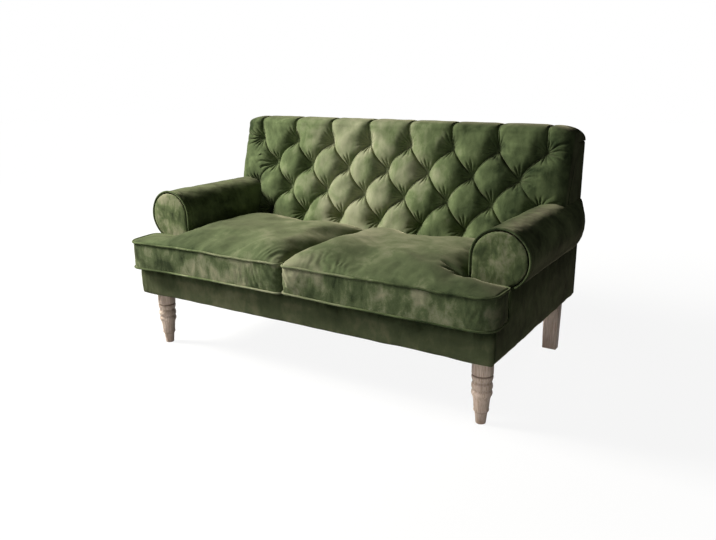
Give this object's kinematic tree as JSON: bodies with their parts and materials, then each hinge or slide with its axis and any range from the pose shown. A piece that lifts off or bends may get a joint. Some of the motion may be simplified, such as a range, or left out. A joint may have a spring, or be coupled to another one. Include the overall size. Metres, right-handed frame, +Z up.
{
  "type": "chesterfield sofa",
  "caption": "Compact velvet sofa with a deep-buttoned raked back, rolled arms, turned front legs and loose T-shaped seat cushions that slide out forwards.",
  "frame": {"origin": "on the floor, midway between the two arms and midway between the cushion fronts and the outside back", "axes": "+Z up; the sofa faces -Y; +X runs along the seat towards the arm on the right of someone who faces the sofa"},
  "size_m": [1.6142, 0.9, 0.888],
  "materials": {
    "velvet": "matte",
    "limed_wood": "satin",
    "frame_wood": "matte",
    "dust_cloth": "matte",
    "deck_felt": "matte",
    "cushion_filling": "matte",
    "spring_steel": "satin",
    "zip_metal": "satin",
    "zip_tape": "matte"
  },
  "bodies": {
    "sofa": {"front_rail": "frame_wood", "back_rail": "frame_wood", "side_rail_left": "frame_wood", "side_rail_right": "frame_wood", "seat_back_rail": "frame_wood", "centre_rail": "frame_wood", "front_corner_block_left": "frame_wood", "front_corner_block_right": "frame_wood", "rear_corner_block_left": "frame_wood", "rear_corner_block_right": "frame_wood", "back_gable_left": "frame_wood", "back_gable_right": "frame_wood", "back_gable_centre": "frame_wood", "top_rail": "frame_wood", "arm_board_left": "frame_wood", "arm_board_right": "frame_wood", "arm_facing_board_left": "frame_wood", "arm_facing_board_right": "frame_wood", "front_leg_left": "limed_wood", "front_leg_right": "limed_wood", "rear_leg_left": "limed_wood", "rear_leg_right": "limed_wood", "front_leg_bolt_left": "spring_steel", "front_leg_bolt_right": "spring_steel", "rear_leg_bolt_left": "spring_steel", "rear_leg_bolt_right": "spring_steel", "seat_spring_1_left": "spring_steel", "seat_spring_1_right": "spring_steel", "seat_spring_2_left": "spring_steel", "seat_spring_2_right": "spring_steel", "seat_deck": "deck_felt", "dust_cover": "dust_cloth", "front_border": "velvet", "outside_side_panel_left": "velvet", "outside_side_panel_right": "velvet", "outside_back_panel": "velvet", "arm_pad_left": "velvet", "arm_pad_right": "velvet", "arm_facing_left": "velvet", "arm_facing_right": "velvet", "arm_welt_left": "velvet", "arm_welt_right": "velvet", "back_pad": "velvet", "button_row_1": "velvet", "button_row_2": "velvet", "button_row_3": "velvet", "button_row_4": "velvet"},
    "left_cushion": {"cushion_cover_left": "velvet", "cushion_core_left": "cushion_filling", "cushion_top_piping_left": "velvet", "cushion_bottom_piping_left": "velvet", "cushion_zip_left": "zip_tape"},
    "right_cushion": {"cushion_cover_right": "velvet", "cushion_core_right": "cushion_filling", "cushion_top_piping_right": "velvet", "cushion_bottom_piping_right": "velvet", "cushion_zip_right": "zip_tape"},
    "left_zip_slider": {"zip_slider_left": "zip_metal"},
    "right_zip_slider": {"zip_slider_right": "zip_metal"}
  },
  "joints": [
    {"name": "left_cushion_slide", "type": "slide", "parent": "sofa", "child": "left_cushion", "axis": [0, -1, 0], "range_m": [0, 0.62]},
    {"name": "right_cushion_slide", "type": "slide", "parent": "sofa", "child": "right_cushion", "axis": [0, -1, 0], "range_m": [0, 0.62]},
    {"name": "left_zip_slide", "type": "slide", "parent": "left_cushion", "child": "left_zip_slider", "axis": [1, 0, 0], "range_m": [0, 0.461]},
    {"name": "right_zip_slide", "type": "slide", "parent": "right_cushion", "child": "right_zip_slider", "axis": [-1, 0, 0], "range_m": [0, 0.461]}
  ]
}
